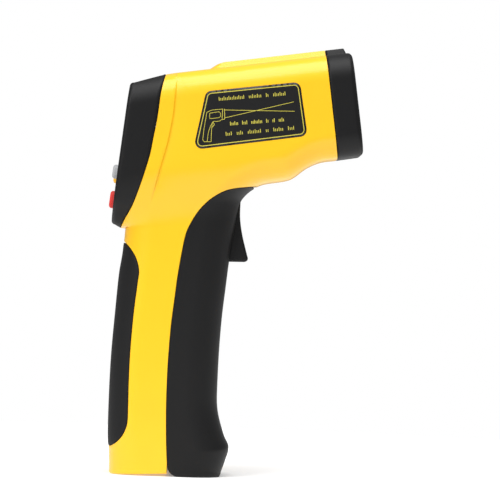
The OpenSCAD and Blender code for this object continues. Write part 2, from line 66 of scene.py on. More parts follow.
def barrel_point(x, z):
    """Side-view point x along the barrel's axis and z above it: nose + x * axis + z * up."""
    return NOSE + np.multiply.outer(x, BARREL_AXES[0]) + np.multiply.outer(z, BARREL_AXES[1])


def face_point(x, z):
    """Side-view point at x behind the display face and z up it: face + x * inward + z * up."""
    return FACE + np.multiply.outer(x, FACE_AXES[0]) + np.multiply.outer(z, FACE_AXES[1])


def spread(line, shares):
    """Points at given fractions of the length of a polyline."""
    line = np.asarray(line, float)
    length = np.concatenate([[0], np.cumsum(np.linalg.norm(np.diff(line, axis=0), axis=1))])
    at = shares * length[-1]
    return np.stack([np.interp(at, length, line[:, k]) for k in range(line.shape[1])], axis=1)


def resample(line, count):
    """Points evenly spaced by length along a polyline."""
    return spread(line, np.linspace(0, 1, count))


def curve(points, count=120):
    """Evenly spaced points on a Catmull-Rom curve: each span is a cubic set by its four nearest points."""
    p = np.asarray(points, float)
    q = np.vstack([2 * p[0] - p[1], p, 2 * p[-1] - p[-2]])
    t = np.linspace(0, len(p) - 1, 24 * (len(p) - 1) + 1)
    i = np.minimum(t.astype(int), len(p) - 2)
    f = (t - i)[:, None]
    a, b, c, d = q[i], q[i + 1], q[i + 2], q[i + 3]
    square = 2 * a - 5 * b + 4 * c - d
    cube = 3 * b - a - 3 * c + d
    fine = 0.5 * (2 * b + (c - a) * f + square * f ** 2 + cube * f ** 3)
    return resample(fine, count)


def at_height(line, z):
    """x of a side-view line at given heights, by straight steps between its points."""
    order = np.argsort(line[:, 1])
    return np.interp(z, line[order, 1], line[order, 0])


# %% Outline and parting lines
NOSE_DEPTH = 9.3
top_seam = np.array([-16.8, 143.0])
crease_top = np.array([-12.9, 143.75])
tip = np.array([16.8, 104.2])
under_nose = np.array([[45.3, 114.9], [39.6, 113.9], [34.7, 111.6], [30.5, 108.3], [27.4, 106.8],
                       [20, 105.4]])
nose_top = barrel_point(-NOSE_DEPTH, 18.5)
top_line = np.vstack([barrel_point(20, 18.5), nose_top, crease_top, top_seam, [-28.2, 140.75], [-40, 138.2]])
underside = curve(np.vstack([under_nose, tip]), 60)
door_front = curve([tip, [13.9, 102], [11.4, 98.9], [10.3, 95], [9.2, 87.5], [7.9, 77.2], [7, 67.8],
                    [6, 56.8], [5.4, 44.3], [5.2, 30.5], [5.4, 25], [6.3, 20.2], [8.2, 14.3], [10, 10.2],
                    [8.9, 5.6], [7.6, 1.6]], 200)
low_line = np.vstack([barrel_point(20, -18), underside, door_front[1:], [7.2, -20]])
handle_rear = curve([[-29.6, 87.7], [-30.2, 79], [-31.2, 71], [-32.1, 57.2], [-32.9, 43.4], [-33.2, 30.9],
                     [-33.2, 15.9], [-32.9, 9.9], [-32.5, 1.8]], 120)
chin = np.array([[-40, 89.6], [-33.6, 88.1], [-31.3, 87.8]])
rear_line = np.vstack([chin, handle_rear, [-32.4, -20]])
housing_seam = curve([top_seam, [-18.1, 136.6], [-19.1, 127.4], [-20.3, 120], [-21.4, 113.6],
                      [-23.9, 104.7], [-26.8, 96.4], [-29.8, 90.8], [-31.3, 87.8]], 90)
crease_line = curve([crease_top, [-13.4, 134.1], [-13.9, 127.6], [-15.2, 119.7], [-16.4, 114.7],
                     [-18, 108.6], [-19.7, 101.7], [-21.6, 95], [-25, 90], [-29.6, 87.7]], 90)
grip_seam = curve([tip, [9, 103.1], [4.6, 101.6], [0.3, 98.7], [-3.2, 95], [-6, 90.4], [-7.7, 86.2],
                   [-8.9, 79.6], [-10.1, 70.9], [-10.9, 62.8], [-11.8, 53.4], [-12.4, 40.3], [-12.5, 26.5],
                   [-12.1, 14], [-11.5, 4]], 200)
pad_seam = curve([[-29.9, 83], [-27.6, 80.9], [-25.2, 77.4], [-23.9, 73], [-24.2, 68.8], [-25.3, 57.4],
                  [-26, 44.8], [-26.2, 34.1], [-26.1, 20.3], [-26.6, 16.8], [-28, 13.7], [-30.3, 11.2],
                  [-32.9, 9.6]], 120)
print("side view:", len(low_line), "points on the front line,", len(rear_line), "on the rear line")

# %% [markdown]
# ## One skin for every moulding
# The mouldings of a case meet flush, so they are cut from one shared skin. Looking from the side, the skin
# is a height above the middle plane: a flat cheek that rolls over near the outline by a quarter circle, down
# to a narrow flat core strip. The case is wider at the head than at the handle.

# %% The skin
HANDLE_HALF = 16.2
HEAD_HALF = 20.7
SLOT_HALF = 5.4
HEAD_CORE = 11.5


def smoothstep(t):
    """0 below 0, 1 above 1, and the cubic 3t^2 - 2t^3 between."""
    t = np.clip(t, 0, 1)
    return t * t * (3 - 2 * t)


def distance(points, line):
    """Shortest distance from each point to a polyline: the least of the distances to its segments."""
    a, d = line[:-1], np.diff(line, axis=0)
    rel = points[..., None, :] - a
    t = np.clip((rel * d).sum(-1) / (d * d).sum(-1), 0, 1)
    return np.sqrt(((rel - t[..., None] * d) ** 2).sum(-1)).min(-1)


def above_axis(points):
    """Height above the barrel's axis."""
    return (points - NOSE) @ BARREL_AXES[1]


def core_half(points):
    """Half width of the flat strip along the outline: the trigger slot's at the handle, wider at the head."""
    return SLOT_HALF + (HEAD_CORE - SLOT_HALF) * smoothstep((above_axis(points) + 29.5) / 10.5)


def dip(points):
    """Depth of the scoop in front of the collar: steep at the crease, then fading out over about 14 mm."""
    ahead = points[..., 0] - at_height(crease_line, points[..., 1])
    scoop = 0.8 * smoothstep(ahead / 0.7) * np.exp(-np.maximum(ahead - 0.7, 0) / 6)
    return scoop * smoothstep((points[..., 1] - 96) / 10)


def skin(points):
    """Half width of the case: core + the height of a quarter circle at the distance d from the outline."""
    core = core_half(points)
    widening = (HEAD_HALF - HANDLE_HALF) * smoothstep((above_axis(points) + 36) / 22)
    r = HANDLE_HALF + widening - dip(points) - core
    d = np.min([distance(points, line) for line in (top_line, low_line, rear_line)], axis=0)
    d = np.minimum(d, r)
    return core + np.sqrt(np.maximum(r * r - (r - d) ** 2, 0))


print("half width at the label", round(float(skin(np.array([14.0, 129.0]))), 2), "mm")

# %% [markdown]
# ## From patches to a mesh
# A moulding is built from patches: each is a grid of points, a function of two parameters. Patches that
# share an edge have the same points there, so they can be welded: first by rounding to a thousandth of a
# millimetre, then by merging points closer than CLOSE. Along the top of the barrel runs a low ridge.

# %% Mesh helpers
# Points closer than this become one.
CLOSE = 0.012
# The ridge on the barrel: its half width, its rise, and along the barrel where it starts, how long its ramp
# is, and where it ends.
RIDGE_HALF = 8.0
RIDGE_RISE = 2.1
RIDGE_BACK = -53.0
RIDGE_RAMP = 6.0
RIDGE_FRONT = -1.75


def lift(points, y):
    """Side-view points and a half width, joined into x, y, z."""
    y = np.broadcast_to(y, points.shape[:-1])
    return np.stack([points[..., 0], y, points[..., 1]], axis=-1)


def between(a, b, t):
    """Grid of points on the straight lines from curve a to curve b, at the fractions t."""
    return a[:, None] + (b - a)[:, None] * np.asarray(t)[None, :, None]


def eased(count):
    """Fractions 0 to 1 that crowd at both ends, as half a cosine does."""
    return 0.5 - 0.5 * np.cos(np.linspace(0, math.pi, count))


def ridge(points, y):
    """Raises points on top of the barrel by the ridge: rise * S-shaped ramp * rolled sides * rolled front."""
    along = (points - NOSE) @ BARREL_AXES[0]
    ramp = smoothstep((along - RIDGE_BACK - 2 * (y / RIDGE_HALF) ** 2) / RIDGE_RAMP)
    side = smoothstep((RIDGE_HALF + 0.6 - y) / 1.4)
    front = smoothstep((RIDGE_FRONT - along) / 1.1)
    return points + (RIDGE_RISE * ramp * side * front)[..., None] * BARREL_AXES[1]


def strip(line, y_from, y_to, rows, raised=False):
    """Flat strip along an outline: the same side-view points carried from one half width to another."""
    y = y_from[:, None] + (y_to - y_from[:, None]) * np.linspace(0, 1, rows)[None]
    points = np.broadcast_to(line[:, None], y.shape + (2,))
    return lift(ridge(points, np.abs(y)), y) if raised else lift(points, y)


def grid_faces(rows, columns, start=0):
    """Quads of a grid that is stored row by row."""
    i = np.arange(rows * columns).reshape(rows, columns) + start
    return np.stack([i[:-1, :-1], i[:-1, 1:], i[1:, 1:], i[1:, :-1]], axis=-1).reshape(-1, 4)


def filled(outline, holes=(), spacing=None):
    """Flat sheet inside an outline and outside its holes: 2D points and triangles, on a lattice if spaced."""
    loops = [np.asarray(loop, float) for loop in (outline, *holes)]
    starts = np.cumsum([0] + [len(loop) for loop in loops]).tolist()
    edges = [(start + k, start + (k + 1) % len(loop)) for start, loop in zip(starts, loops)
             for k in range(len(loop))]
    points = np.vstack(loops)
    if spacing:
        low, high = points.min(0), points.max(0)
        steps = [np.arange(low[k], high[k], spacing) for k in (0, 1)]
        lattice = np.stack(np.meshgrid(*steps), -1).reshape(-1, 2)
        lattice = lattice[within(lattice, loops[0])]
        border = np.vstack([loops[0], loops[0][:1]])
        points = np.vstack([points, lattice[distance(lattice, border) > spacing * 0.4]])
    v, _, f, _, _, _ = delaunay_2d_cdt([Vector(p) for p in points.tolist()], edges, [], 0, 1e-6)
    v, f = np.array([p[:] for p in v]), np.array([t[:] for t in f])
    keep = within(v[f].mean(1), loops[0])
    for hole in loops[1:]:
        keep &= ~within(v[f].mean(1), hole)
    return v, f[keep]


def within(points, loop):
    """Whether 2D points lie in a loop: a ray to the right crosses its edges an odd number of times."""
    a, b = loop, np.roll(loop, -1, axis=0)
    x, y = points[:, 0:1], points[:, 1:2]
    spans = (a[:, 1] > y) != (b[:, 1] > y)
    rise = np.where(b[:, 1] == a[:, 1], 1, b[:, 1] - a[:, 1])
    return ((spans & (x < (b[:, 0] - a[:, 0]) * (y - a[:, 1]) / rise + a[:, 0])).sum(1) % 2) == 1


def welded(patches):
    """Patches, each a grid or a pair of points and faces, as one set of points, quads and triangles."""
    points, quads, tris = [], [], []
    n = 0
    for patch in patches:
        if isinstance(patch, tuple):
            points.append(patch[0])
            (tris if patch[1].shape[1] == 3 else quads).append(patch[1] + n)
        else:
            points.append(patch.reshape(-1, 3))
            quads.append(grid_faces(*patch.shape[:2], n))
        n += len(points[-1])
    v = np.round(np.vstack(points), 3)
    v, to = np.unique(v, axis=0, return_inverse=True)
    to = to.reshape(-1)
    q = to[np.vstack(quads)] if quads else np.empty((0, 4), int)
    t = to[np.vstack(tris)] if tris else np.empty((0, 3), int)
    same = q == np.roll(q, -1, axis=1)
    pinched = q[same.sum(1) == 1]
    first = same[same.sum(1) == 1].argmax(1)
    t = np.vstack([t, pinched[np.arange(len(pinched))[:, None], (first[:, None] + np.arange(1, 4)) % 4]])
    q = q[same.sum(1) == 0]
    q = q[(q[:, 0] != q[:, 2]) & (q[:, 1] != q[:, 3])]
    t = t[(t[:, 0] != t[:, 1]) & (t[:, 1] != t[:, 2]) & (t[:, 0] != t[:, 2])]
    return v, q, t


def make(name, patches, body, material, stands_for=(), wall=0.0, rim=0.0, inside=None,
         smooth=35):
    """A piece in the row frame from patches in mm, with an inward wall and rounded rims if they are given.

    inside is a point in the piece's hollow: faces are turned to look away from it."""
    v, q, t = welded(patches)
    mesh = bpy.data.meshes.new(name)
    mesh.vertices.add(len(v))
    mesh.vertices.foreach_set("co", (v * MM).ravel())
    mesh.loops.add(q.size + t.size)
    mesh.loops.foreach_set("vertex_index", np.concatenate([q.ravel(), t.ravel()]).astype(np.int32))
    mesh.polygons.add(len(q) + len(t))
    starts = np.concatenate([np.arange(len(q)) * 4, q.size + np.arange(len(t)) * 3])
    mesh.polygons.foreach_set("loop_start", starts.astype(np.int32))
    mesh.update(calc_edges=True)
    mesh.validate()
    work = bmesh.new()
    work.from_mesh(mesh)
    bmesh.ops.remove_doubles(work, verts=work.verts, dist=CLOSE * MM)
    bmesh.ops.recalc_face_normals(work, faces=work.faces)
    work.to_mesh(mesh)
    work.free()
    ref = np.array(inside if inside is not None else v.mean(0)) * MM
    centres = np.empty(len(mesh.polygons) * 3)
    normals = np.empty(len(mesh.polygons) * 3)
    areas = np.empty(len(mesh.polygons))
    mesh.polygons.foreach_get("center", centres)
    mesh.polygons.foreach_get("normal", normals)
    mesh.polygons.foreach_get("area", areas)
    if (((centres.reshape(-1, 3) - ref) * normals.reshape(-1, 3)).sum(1) * areas).sum() < 0:
        mesh.flip_normals()
    mesh.shade_smooth()
    mesh.set_sharp_from_angle(angle=math.radians(smooth))
    piece = bpy.data.objects.new(name, mesh)
    bpy.context.scene.collection.objects.link(piece)
    if wall:
        solid = piece.modifiers.new("wall", "SOLIDIFY")
        solid.thickness = wall * MM
        solid.offset = -1
    if rim:
        bevel = piece.modifiers.new("rim", "BEVEL")
        bevel.width = rim * MM
        bevel.segments = 2
        bevel.limit_method = "ANGLE"
        bevel.angle_limit = math.radians(40)
        bevel.harden_normals = True
    piece.data.materials.append(material)
    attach(piece, body)
    if stands_for:
        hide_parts(*stands_for)
    print(f"{name}: {len(q)} quads, {len(t)} triangles")
    return piece


# %% [markdown]
# ## Materials
# One function turns sRGB hex colours to linear, and one adds a node with its settings and links.

# %% Material helpers
# The colour sockets of a mix node: its two inputs and its output.
MIX_A, MIX_B, MIX_OUT = 6, 7, 2


def linear(hex_code):
    """sRGB hex to linear RGBA: c / 12.92 below 0.04045, else ((c + 0.055) / 1.055) ^ 2.4."""
    c = np.array([int(hex_code[i:i + 2], 16) for i in (1, 3, 5)]) / 255
    rgb = np.where(c <= 0.04045, c / 12.92, ((c + 0.055) / 1.055) ** 2.4)
    return (*rgb.tolist(), 1.0)


def add(tree, kind, sockets=None, **settings):
    """Adds one node. A socket's value is a number, a colour, or another node's output to link from."""
    node = tree.nodes.new(kind)
    for key, value in settings.items():
        setattr(node, key, value)
    for key, value in (sockets or {}).items():
        if isinstance(value, bpy.types.NodeSocket):
            tree.links.new(value, node.inputs[key])
        else:
            node.inputs[key].default_value = value
    return node


def moulded(name, light, dark, roughness, grain_mm, bump_mm, patch_mm=18.0, **surface):
    """A moulded plastic or rubber: colour drifts between two tones over patch_mm, and the tool's etched
    grain of grain_mm varies its roughness by 0.05 each way and gives a bump of bump_mm."""
    material = bpy.data.materials.new(name)
    material.use_nodes = True
    tree = material.node_tree
    shader = tree.nodes["Principled BSDF"]
    place = add(tree, "ShaderNodeTexCoord").outputs["Object"]
    drift = add(tree, "ShaderNodeTexNoise", {"Vector": place, "Scale": 1000 / patch_mm, "Detail": 3.0})
    grain = add(tree, "ShaderNodeTexNoise", {"Vector": place, "Scale": 1000 / grain_mm, "Detail": 2.0})
    tone = add(tree, "ShaderNodeMix", {0: drift.outputs["Fac"], MIX_A: linear(dark), MIX_B: linear(light)},
               data_type="RGBA")
    gloss = add(tree, "ShaderNodeMapRange", {"Value": grain.outputs["Fac"], "To Min": roughness - 0.05,
                                             "To Max": roughness + 0.05})
    bump = add(tree, "ShaderNodeBump", {"Height": grain.outputs["Fac"], "Distance": bump_mm * MM,
                                        "Strength": 1.0})
    tree.links.new(tone.outputs[MIX_OUT], shader.inputs["Base Color"])
    tree.links.new(gloss.outputs["Result"], shader.inputs["Roughness"])
    tree.links.new(bump.outputs["Normal"], shader.inputs["Normal"])
    for key, value in surface.items():
        shader.inputs[key].default_value = value
    return material


# A satin surface: the light from above spreads to one broad pale band along the barrel's rolled edge.
yellow_abs = moulded("ABS yellow, satin moulded", "#FFC818", "#FDC014", 0.45, 0.5, 0.012, IOR=1.5,
                     **{"Specular IOR Level": 0.12, "Coat Weight": 0.8, "Coat Roughness": 0.26})
# The etched mould scatters what it reflects, so the black stays dark and only its rolled edges catch light.
black_abs = moulded("ABS black, fine etched mould", "#101011", "#0D0D0E", 0.5, 0.4, 0.02, IOR=1.46,
                    **{"Specular IOR Level": 0.3})
# Rubber is duller still, with a wide dim sheen in place of a highlight.
grip_rubber = moulded("TPE rubber black, moulded", "#121213", "#0F0F10", 0.62, 0.5, 0.03, IOR=1.45,
                      **{"Specular IOR Level": 0.3})

# %% [markdown]
# ## Rounded sole
# The handle stands on a flat sole with a small rounding. So near the sole the skin draws in again, by a
# quarter circle of one millimetre. The line where two mouldings meet is moved a tenth of a millimetre to
# each side, which leaves the thin dark joint that every snapped or screwed case shows.

# %% Sole and seams
GAP = 0.11
SOLE_ROUND = 1.0
HINGE = np.array([-7.5, 4.0])
HEEL_R = 4.0
heel = HINGE + HEEL_R * np.stack([np.cos(np.linspace(-math.pi / 2, -math.pi, 16)),
                                  np.sin(np.linspace(-math.pi / 2, -math.pi, 16))], 1)
TOE = np.array([6.5, 0.0])
door_sole = np.vstack([TOE, np.linspace(TOE, heel[0], 24)[1:], heel[1:]])
case_sole = np.array([[-60.0, 0.0], [-31.4, 0.0], [-11.0, 1.0], [60.0, 1.0]])


def shifted(line, by):
    """A side-view line moved along its left-hand normal, found from the differences of its points."""
    step = np.gradient(line, axis=0)
    normal = np.stack([-step[:, 1], step[:, 0]], 1)
    return line + by * normal / np.maximum(np.linalg.norm(normal, axis=1, keepdims=True), 1e-9)


def half(points, sole):
    """Half width with the rounded sole: skin - (r - sqrt(r^2 - (r - d)^2)) at distance d from the sole."""
    gone = SOLE_ROUND - np.minimum(distance(points, sole), SOLE_ROUND)
    return skin(points) - (SOLE_ROUND - np.sqrt(SOLE_ROUND ** 2 - gone ** 2))


print("sole of the door:", len(door_sole), "points")

# %% [markdown]
# ## Yellow halves of the case
# The case is two mouldings that meet on the middle plane and are screwed together. Each cheek is covered
# by rungs, straight lines in the side view from the outer border to the inner one, lifted onto the skin.
# The collar is its own patch, so that the crease in front of it stays sharp.

# %% Halves of the case
# Half of the joint between the halves, and how many rows a strip across to it has.
PART = 0.05
STRIP_ROWS = 31
# Heights on the grip seam where the fan of rungs from the crease starts and ends, and where the pad ends.
FAN_TURN = 84.0
FAN_END = 80.5
PAD_FOOT = 9.8
# Radius of the foot's rear corner, seen from the side.
CASE_CORNER = 1.1
rungs = eased(44)
scooped = np.concatenate([np.linspace(0, 0.03, 5)[:-1], 0.03 + 0.97 * rungs])
seam_edge = shifted(grip_seam, -GAP)
nose_edge = barrel_point(-NOSE_DEPTH - GAP, 18.5)
case_under = resample(underside, 56)
housing_edge = resample(shifted(housing_seam, GAP), 44)
crease_edge = resample(crease_line, 44)
pad_edge = shifted(pad_seam, GAP)


def down_seam(line, high, low, count):
    """Points of a seam between two heights, evenly spaced in height."""
    z = np.linspace(high, low, count)
    return np.stack([at_height(line, z), z], 1)


def on_sole(line):
    """The foot's inner border, its heights squeezed so that its last point lies on the sole's line."""
    floor_z = np.interp(line[:, 0], case_sole[:, 0], case_sole[:, 1])
    return np.stack([line[:, 0], floor_z + line[:, 1] * (1 - floor_z / PAD_FOOT)], 1)


def case_half(side):
    """Patches of one half: barrel, collar, waist, beside the pad, and foot, with strips to the parting."""
    top = resample([nose_edge, crease_top], 56)
    upper_seam = seam_edge[seam_edge[:, 1] > FAN_TURN]
    rear = handle_rear[(handle_rear[:, 1] > pad_edge[0, 1]) & (handle_rear[:, 1] < 87.7)]
    rear = np.vstack([crease_line[-1], rear, [at_height(handle_rear, pad_edge[0, 1]), pad_edge[0, 1]]])
    low_z = PAD_FOOT * (1 - np.sin(np.linspace(0, math.pi / 2, 14)))
    corner = CASE_CORNER * (1 - np.sqrt(1 - np.clip((CASE_CORNER - low_z) / CASE_CORNER, 0, 1) ** 2))
    low_front = np.where(low_z > 4, at_height(seam_edge, np.maximum(low_z, 4)), seam_edge[-1, 0])
    pad_border = resample(np.vstack([rear[-1], pad_edge[1:-1], [at_height(handle_rear, PAD_FOOT), PAD_FOOT]]),
                          90)
    collar = (housing_edge, crease_edge, np.linspace(0, 1, 7), False)
    foot = (np.stack([at_height(handle_rear, low_z) + corner, low_z], 1),
            on_sole(np.stack([low_front, low_z], 1)), rungs, True)
    zones = [
        (top, case_under, rungs, True),
        collar,
        (crease_edge, resample(upper_seam, 44), scooped, False),
        (rear, down_seam(seam_edge, upper_seam[-1, 1], FAN_END, len(rear)), rungs, True),
        (pad_border, down_seam(seam_edge, FAN_END, PAD_FOOT, 90), rungs, False),
        foot,
    ]
    patches = []
    for outer, inner, t, open_edge in zones:
        points = between(outer, inner, t)
        width = half(points, case_sole)
        patches.append(lift(points, width))
        if open_edge:
            patches.append(strip(outer, width[:, 0], PART, STRIP_ROWS, raised=outer is top))
    collar_grid = between(*collar[:3])
    for border in (collar_grid[0], collar_grid[-1], case_under, between(*foot[:3])[-1]):
        patches.append(strip(border, half(border, case_sole), PART, STRIP_ROWS))
    return [patch * (1, side, 1) for patch in patches]


make("case_half_right", case_half(-1), "case", yellow_abs, ["right_shell"], 1.8, 0.22,
     inside=(8, 0, 110))
make("case_half_left", case_half(1), "case", yellow_abs, ["left_shell"], 1.8, 0.22,
     inside=(8, 0, 110))

# %% [markdown]
# ## Rubber pad on the back of the handle
# A soft grip is moulded over the case, so it lies a little proud of it and rolls down to its border.

# %% Rear pad
PAD_PROUD = 0.22
PAD_ROLL = 0.9


def pad_patches():
    """Both cheeks between the pad's border and the handle's back line, and the flat strip that joins them."""
    border = resample(shifted(pad_seam, -GAP)[1:-1], 90)
    back = down_seam(handle_rear, border[0, 1], border[-1, 1], 90)
    border[0], border[-1] = back[0] + (0.05, 0), back[-1] + (0.05, 0)
    points = between(border, back, eased(30))
    proud = PAD_PROUD * smoothstep(distance(points, pad_seam) / PAD_ROLL)
    width = skin(points) + proud
    backward = proud * smoothstep(1 - (points[..., 0] + 33) / 6)
    side = lift(points - np.stack([backward, 0 * backward], -1), width)
    other = side * (1, -1, 1)
    return [side, other, between(side[:, -1], other[:, -1], np.linspace(0, 1, 25))]


make("rear_pad", pad_patches(), "case", grip_rubber, ["rear_grip"], 1.0, 0.15,
     inside=(-20, 0, 45))

# %% [markdown]
# ## Battery door
# The front of the grip is the battery door. It turns on a pin at its foot, so its heel is round, and it has
# a slot for the trigger. Its front is a flat strip as wide as the slot, so the slot's edges fall on grid
# lines.
# Where the outline meets the seam at a sharp point, rungs would shrink to nothing and the wall would fold, so
# both ends are left blunt.

# %% Door
SLOT_LOW, SLOT_HIGH = 76.4, 98.8
# Length left off each sharp end of the seam, and points left off the end of the heel's arc.
BLUNT = 1.2
HEEL_FREE = 4
# Share of the seam that faces the front of the door; the rest faces its toe, sole and heel.
FRONT_SHARE = 0.9


def door_patches():
    """Cheeks by rungs from the outline (front, toe, sole, heel) to the seam, and strips across it."""
    seam = shifted(grip_seam, GAP)
    seam = seam[(seam[:, 0] < tip[0] - BLUNT) & (seam[:, 1] > HINGE[1] + BLUNT)]
    front = door_front[(door_front[:, 1] > 1.35) & (door_front[:, 1] < tip[1] - BLUNT / 2)]
    z = np.unique(np.concatenate([front[:, 1], [SLOT_LOW, SLOT_HIGH]]))[::-1]
    front = np.stack([at_height(front, z), z], 1)
    toe_turn = np.linspace(0, math.pi / 2, 8)[1:-1]
    toe = TOE + np.stack([(front[-1, 0] - TOE[0]) * np.cos(toe_turn),
                          front[-1, 1] * (1 - np.sin(toe_turn))], 1)
    outline = np.vstack([front, toe, door_sole[:-HEEL_FREE]])
    run = np.concatenate([[0], np.cumsum(np.linalg.norm(np.diff(outline, axis=0), axis=1))])
    turn = run[len(front) - 1]
    share = np.where(run <= turn, FRONT_SHARE * run / turn,
                     FRONT_SHARE + (1 - FRONT_SHARE) * (run - turn) / (run[-1] - turn))
    inner = spread(seam, share)
    points = between(outline, inner, 0.5 * (eased(36) + np.linspace(0, 1, 36)))
    width = half(points, door_sole)
    side = lift(points, width)
    across = np.linspace(-1, 1, 33)
    middle = lift(np.broadcast_to(outline[:, None], (len(outline), 33, 2)), width[:, :1] * across)
    slot_top = np.argmax(outline[:, 1] <= SLOT_HIGH)
    slot_foot = np.argmax(outline[:, 1] <= SLOT_LOW)
    return [side, side * (1, -1, 1), middle[:slot_top + 1], middle[slot_foot:]]


make("battery_door_shell", door_patches(), "battery_door", black_abs, ["battery_door"], 1.8, 0.22,
     inside=(-2, 0, 50))

# %% [markdown]
# ## Hoops
# The display hood and the nose cap are hoops round the head. A hoop is a grid too: one way goes round
# the case, the other along it. Its open end rolls over a rim and turns into a flat ring.

# %% Hoops
def hoop(rows, raised=False, steps=26):
    """Closed loops round the case from side-view rows that run from the top line to the lower line."""
    y = skin(rows)
    f = np.linspace(0, 1, steps + 1)[:-1, None]
    top = np.broadcast_to(rows[:1], (steps,) + rows.shape[1:])
    top_y = f * y[:1]
    top = lift(ridge(top, top_y), top_y) if raised else lift(top, top_y)
    low = lift(np.broadcast_to(rows[-1:], (steps,) + rows.shape[1:]), f[::-1] * y[-1:])
    right = np.concatenate([top, lift(rows, y), low])
    left = right[::-1][1:] * (1, -1, 1)
    return np.concatenate([right, left])


def inward(loop, axis):
    """Steps of about 1 mm towards a loop's middle: a point's width / half width and height / half height,
    both negated. Such steps can't cross at a corner, as steps square to the loop would."""
    ways = np.array([[0, 1, 0], np.cross(axis, [0, 1, 0])])
    flat = loop @ ways.T
    low = flat.min(0)
    high = flat.max(0)
    return -((flat - (low + high) / 2) / ((high - low) / 2)) @ ways


def rolled(grid, axis, moves):
    """Adds loops to a hoop: each is its last loop moved inward and along the axis by the given pairs."""
    last = grid[:, -1]
    side = inward(last, axis)
    extra = [last + side * across + np.asarray(axis) * along for across, along in moves]
    return np.concatenate([grid, np.stack(extra, 1)], axis=1)


def quarter(across, along, count=7):
    """Pairs along a quarter ellipse that starts along the axis and ends across it."""
    a = np.linspace(0, math.pi / 2, count)[1:]
    return [(across * (1 - math.cos(t)), along * math.sin(t)) for t in a.tolist()]


barrel_axis = np.array([BARREL_AXES[0][0], 0, BARREL_AXES[0][1]])
face_axis = -np.array([FACE_AXES[0][0], 0, FACE_AXES[0][1]])
print("the nose looks along", barrel_axis.round(3), "and the display along", face_axis.round(3))

# %% [markdown]
# ## Display hood
# The hood carries the display and keys at the back of the head. It starts at the collar and ends in a flat
# face that is tilted 6 degrees.

# %% Display hood
HOOD_ROLL = 1.4
HOOD_RIM = 1.1
hood_seam = spread(shifted(housing_seam, -GAP), eased(70))
hood_rim = spread([face_point(HOOD_ROLL, 25.9), face_point(HOOD_ROLL, -25.0)], eased(70))
hood_rows = between(hood_seam, hood_rim, np.linspace(0, 1, 9))
hood_grid = rolled(hoop(hood_rows), face_axis, quarter(HOOD_ROLL, HOOD_ROLL))
hood_grid = rolled(hood_grid, face_axis, [(HOOD_RIM, 0), (HOOD_RIM + 0.05, -1.2)])
make("display_hood", [hood_grid], "case", black_abs, ["display_housing"], 1.2, 0, inside=(-25, 0, 114))

# %% [markdown]
# ## Face plate, window and keys
# The face plate fills the hood's rim. It has a window over the display and three openings for the keys.
# It is a flat sheet cut round its openings and given a thickness, as a moulded plate has.

# %% Face plate
WINDOW_MID = 11.6
WINDOW_SIZE = (27.4, 18.6)
PLATE_DEEP = 0.15
# How much the plate is drawn in from the rim, as a share of its half width, and the play across each key.
PLATE_PLAY = 0.1 / 19
KEY_PLAY = 0.5


def rounded(width, height, r, count=9):
    """Outline of a rounded rectangle about the middle: four quarter circles."""
    a = np.linspace(0, math.pi / 2, count)
    arcs = [np.stack([r * np.cos(a + k * math.pi / 2), r * np.sin(a + k * math.pi / 2)], 1) for k in range(4)]
    corners = np.array([[1, 1], [-1, 1], [-1, -1], [1, -1]]) * (width / 2 - r, height / 2 - r)
    return np.concatenate([arc + corner for arc, corner in zip(arcs, corners)])


def on_face(plane, depth):
    """Points given across and up the display face, at a depth behind it, in x, y, z."""
    return lift(face_point(np.broadcast_to(depth, plane.shape[:-1]), plane[..., 1]), plane[..., 0])


def prism(outline, place, moves):
    """Closed solid from loops of an outline that is inset and moved: moves are (inset, depth) pairs."""
    step = np.roll(outline, -1, axis=0) - np.roll(outline, 1, axis=0)
    normal = np.stack([-step[:, 1], step[:, 0]], 1) / np.linalg.norm(step, axis=1, keepdims=True)
    if ((outline.mean(0) - outline) * normal).sum() < 0:
        normal = -normal
    loops = [outline + normal * inset for inset, _ in moves]
    closed = [np.vstack([loop, loop[:1]]) for loop in loops]
    walls = np.stack([place(loop, depth) for loop, (_, depth) in zip(closed, moves)], 1)
    patches = [walls]
    for end in (0, -1):
        points, faces = filled(loops[end])
        patches.append((place(points, moves[end][1]), faces))
    return patches


# Each key's place across and up the face, its width and its height.
KEYS = {"grey_key": (-7.8, -6.25, 9.2, 5.0), "yellow_key": (7.8, -6.95, 9.2, 6.4),
        "red_key": (0, -16.2, 9.6, 6.2)}
plate_loop = hood_grid[:-1, -2]
plate_outline = np.stack([plate_loop[:, 1], (plate_loop[:, [0, 2]] - FACE) @ FACE_AXES[1]], 1)
plate_middle = plate_outline.mean(0)
plate_outline = plate_middle + (plate_outline - plate_middle) * (1 - PLATE_PLAY)
holes = [rounded(*WINDOW_SIZE, 1.5) + (0, WINDOW_MID)]
holes += [rounded(w + KEY_PLAY, h + KEY_PLAY, 1.85) + (y, z) for y, z, w, h in KEYS.values()]
plate, plate_faces = filled(plate_outline, holes)
make("face_plate", [(on_face(plate, PLATE_DEEP), plate_faces)], "case", black_abs, ["display_bezel"],
     1.7, 0.2, inside=(-20, 0, 114))

# %% [markdown]
# ## Keys
# Each key is a silicone cap that stands out through the plate. It is a rounded rectangle with upright sides,
# and its top edge rolls over by a quarter ellipse.

# %% Keys
# How far a key reaches behind the face, how far its sides stand out, and the size of its rolled edge.
KEY_ROOT, KEY_SIDE = 2.2, 1.1
KEY_ROLL_IN, KEY_ROLL_OUT = 1.1, 0.9
